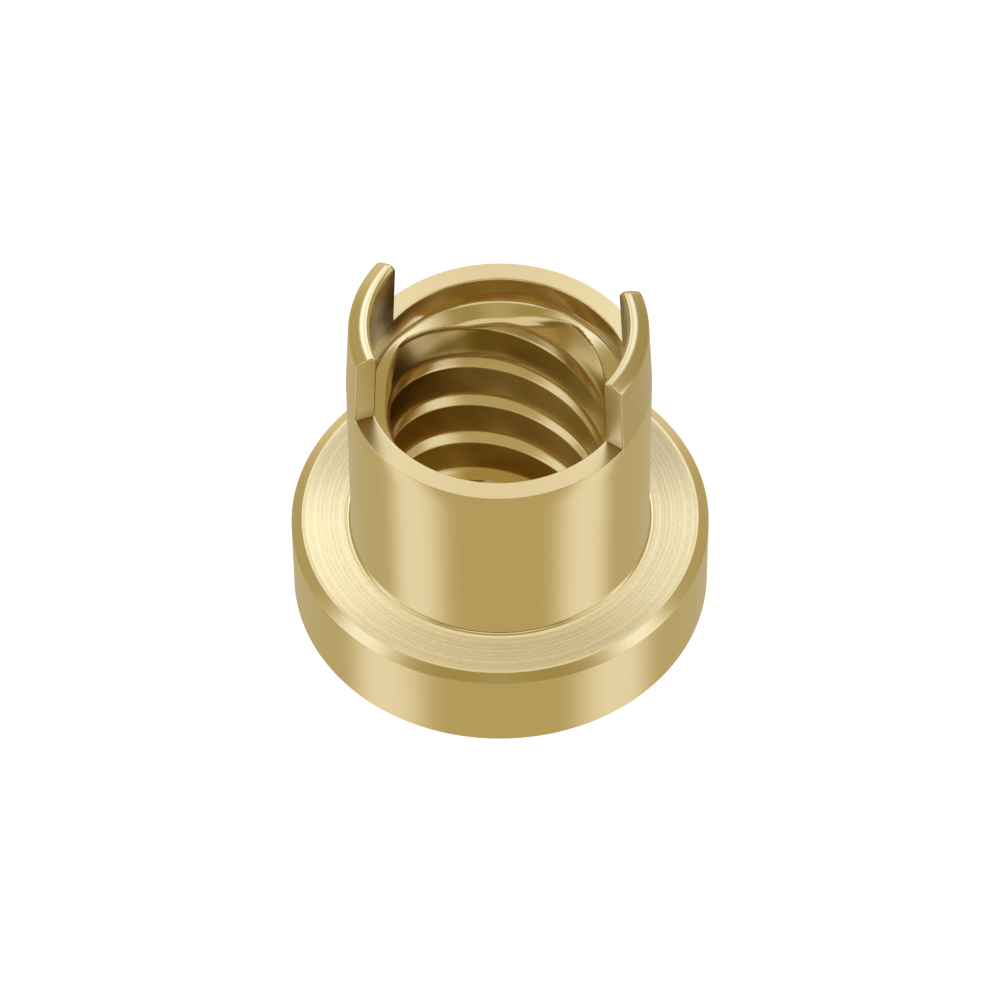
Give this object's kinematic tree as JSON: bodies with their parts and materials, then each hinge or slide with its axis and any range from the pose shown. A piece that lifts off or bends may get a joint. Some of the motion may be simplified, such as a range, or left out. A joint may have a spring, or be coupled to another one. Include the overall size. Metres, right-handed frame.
{
  "type": "lead screw nut",
  "caption": "Small half of a spring-loaded anti-backlash lead screw nut: a flanged neck with a multi-start threaded bore, a shallow socket and upright prongs that key into its mate.",
  "frame": {"origin": "centre of the flange's flat underside, on the bore's axis", "axes": "+Z along the bore towards the prongs; the prongs stand about the line 8.5 degrees clockwise of +X seen from above, and its opposite"},
  "size_m": [0.014, 0.014, 0.0131],
  "materials": {
    "turned_brass": "bare turned brass, satin, with fine concentric tool marks on the flange face"
  },
  "bodies": {
    "root": {"nut_body": "turned_brass"}
  },
  "joints": []
}
